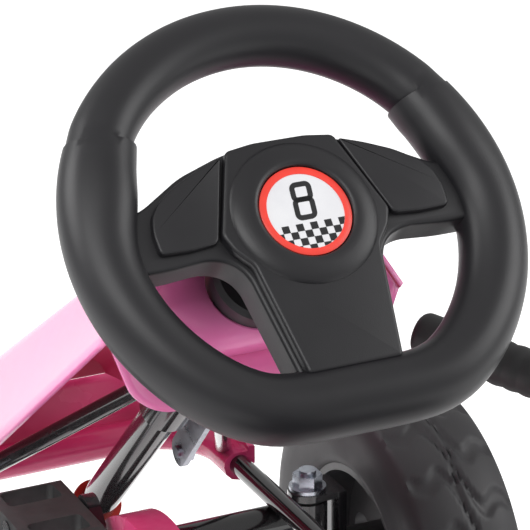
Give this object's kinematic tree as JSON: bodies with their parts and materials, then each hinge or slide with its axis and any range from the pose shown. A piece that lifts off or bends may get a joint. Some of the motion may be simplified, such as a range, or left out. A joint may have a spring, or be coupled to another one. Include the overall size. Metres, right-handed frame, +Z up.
{
  "type": "pedal go kart",
  "caption": "Child pedal go kart with padded steering wheel, pink nose fairing and bumper band, tubular frame, chain drive, handbrake and sliding bucket seat.",
  "frame": {"origin": "on the ground below the middle of the kart", "axes": "+X forward, +Y to the driver's left, +Z up"},
  "size_m": [1, 0.524, 0.6244],
  "materials": {
    "frame_black": "gloss",
    "collar_black": "satin",
    "red_plastic": "gloss",
    "badge_red": "gloss",
    "badge_white": "gloss",
    "wheel_black": "satin",
    "zinc": "satin",
    "bush_nylon": "matte",
    "pink_gloss": "gloss",
    "pink_deep": "gloss",
    "pedal_black": "matte",
    "shoe_rubber": "matte",
    "seat_black": "satin",
    "slider_black": "satin",
    "tyre_grey": "satin",
    "rim_black": "satin",
    "pink_cap": "gloss"
  },
  "bodies": {
    "chassis": {"backbone": "frame_black", "front_beam": "frame_black", "rear_frame": "frame_black", "side_tube": "frame_black", "column_housing": "frame_black", "column_collar": "collar_black", "column_ring": "red_plastic", "column_socket": "frame_black", "left_stay": "frame_black", "right_stay": "frame_black", "fairing_bracket": "zinc", "frame_bushes": "bush_nylon", "chain": "zinc", "chain_case_inner": "pink_deep", "chain_case_cover": "pink_deep", "front_spoiler": "pink_deep", "fairing": "pink_gloss", "frame_bolts": "zinc"},
    "steering": {"wheel_rim": "wheel_black", "centre_cover": "wheel_black", "spoke_panel_left": "wheel_black", "spoke_panel_right": "wheel_black", "badge_ring": "badge_red", "badge_disc": "badge_white", "steering_column": "frame_black", "pitman_arm": "frame_black", "steering_bolts": "zinc"},
    "left_upright": {"left_knuckle": "frame_black", "left_kingpin": "zinc"},
    "right_upright": {"right_knuckle": "frame_black", "right_kingpin": "zinc"},
    "left_link": {"left_tie_rod": "zinc"},
    "right_link": {"right_tie_rod": "zinc"},
    "rear_drive": {"rear_axle": "zinc", "rear_sprocket": "zinc", "rear_left_tyre": "tyre_grey", "rear_left_rim": "rim_black", "rear_left_cap": "pink_cap"},
    "crank": {"crankset": "frame_black", "front_sprocket": "zinc"},
    "left_foot": {"left_pedal": "pedal_black"},
    "right_foot": {"right_pedal": "pedal_black"},
    "brake": {"brake_lever": "frame_black", "brake_grip": "pedal_black", "brake_shoe": "shoe_rubber"},
    "seat_unit": {"seat": "seat_black", "seat_slider": "slider_black"},
    "seat_clamp": {"seat_knob": "pedal_black"},
    "front_left_wheel": {"front_left_tyre": "tyre_grey", "front_left_rim": "rim_black", "front_left_cap": "pink_cap"},
    "front_right_wheel": {"front_right_tyre": "tyre_grey", "front_right_rim": "rim_black", "front_right_cap": "pink_cap"},
    "rear_right_wheel": {"rear_right_tyre": "tyre_grey", "rear_right_rim": "rim_black", "rear_right_cap": "pink_cap"}
  },
  "joints": [
    {"name": "steering_turn", "type": "hinge", "parent": "chassis", "child": "steering", "pos_m": [0.05, 0, 0.535], "axis": [-0.7071, 0, 0.7071], "range_deg": [-25, 25]},
    {"name": "left_knuckle_turn", "type": "hinge", "parent": "chassis", "child": "left_upright", "pos_m": [0.355, 0.15, 0.17], "axis": [0, 0, 1], "range_deg": [-22.5, 22.5]},
    {"name": "left_link_turn", "type": "hinge", "parent": "steering", "child": "left_link", "pos_m": [0.37881, 0.014, 0.14963], "axis": [-0.7071, 0, 0.7071], "range_deg": [-26, 26]},
    {"name": "front_left_wheel_spin", "type": "hinge", "parent": "left_upright", "child": "front_left_wheel", "pos_m": [0.355, 0.222, 0.13], "axis": [0, 1, 0], "continuous": true},
    {"name": "right_knuckle_turn", "type": "hinge", "parent": "chassis", "child": "right_upright", "pos_m": [0.355, -0.15, 0.17], "axis": [0, 0, 1], "range_deg": [-22.5, 22.5]},
    {"name": "right_link_turn", "type": "hinge", "parent": "steering", "child": "right_link", "pos_m": [0.37881, -0.014, 0.14963], "axis": [-0.7071, 0, 0.7071], "range_deg": [-26, 26]},
    {"name": "front_right_wheel_spin", "type": "hinge", "parent": "right_upright", "child": "front_right_wheel", "pos_m": [0.355, -0.222, 0.13], "axis": [0, 1, 0], "continuous": true},
    {"name": "rear_axle_spin", "type": "hinge", "parent": "chassis", "child": "rear_drive", "pos_m": [-0.335, 0, 0.13], "axis": [0, 1, 0], "continuous": true},
    {"name": "rear_right_wheel_spin", "type": "hinge", "parent": "rear_drive", "child": "rear_right_wheel", "pos_m": [-0.335, -0.222, 0.13], "axis": [0, 1, 0], "continuous": true},
    {"name": "crank_spin", "type": "hinge", "parent": "chassis", "child": "crank", "pos_m": [0.19, 0, 0.21], "axis": [0, 1, 0], "continuous": true},
    {"name": "left_pedal_spin", "type": "hinge", "parent": "crank", "child": "left_foot", "pos_m": [0.24464, 0.086, 0.27511], "axis": [0, 1, 0], "continuous": true},
    {"name": "right_pedal_spin", "type": "hinge", "parent": "crank", "child": "right_foot", "pos_m": [0.13536, -0.086, 0.14489], "axis": [0, 1, 0], "continuous": true},
    {"name": "brake_pull", "type": "hinge", "parent": "chassis", "child": "brake", "pos_m": [-0.06, -0.06, 0.168], "axis": [0, 1, 0], "range_deg": [-8, 0]},
    {"name": "seat_slide", "type": "slide", "parent": "chassis", "child": "seat_unit", "axis": [1, 0, 0], "range_m": [-0.04, 0.04]},
    {"name": "seat_knob_turn", "type": "hinge", "parent": "seat_unit", "child": "seat_clamp", "pos_m": [-0.285, -0.0153, 0.1835], "axis": [0, 1, 0], "range_deg": [-90, 90]}
  ],
  "couplings": [
    {"joint": "left_knuckle_turn", "follows": "steering_turn", "ratio": 0.88},
    {"joint": "right_knuckle_turn", "follows": "steering_turn", "ratio": 0.88},
    {"joint": "left_link_turn", "follows": "steering_turn", "ratio": -1},
    {"joint": "right_link_turn", "follows": "steering_turn", "ratio": -1},
    {"joint": "crank_spin", "follows": "rear_axle_spin", "ratio": 0.5}
  ]
}
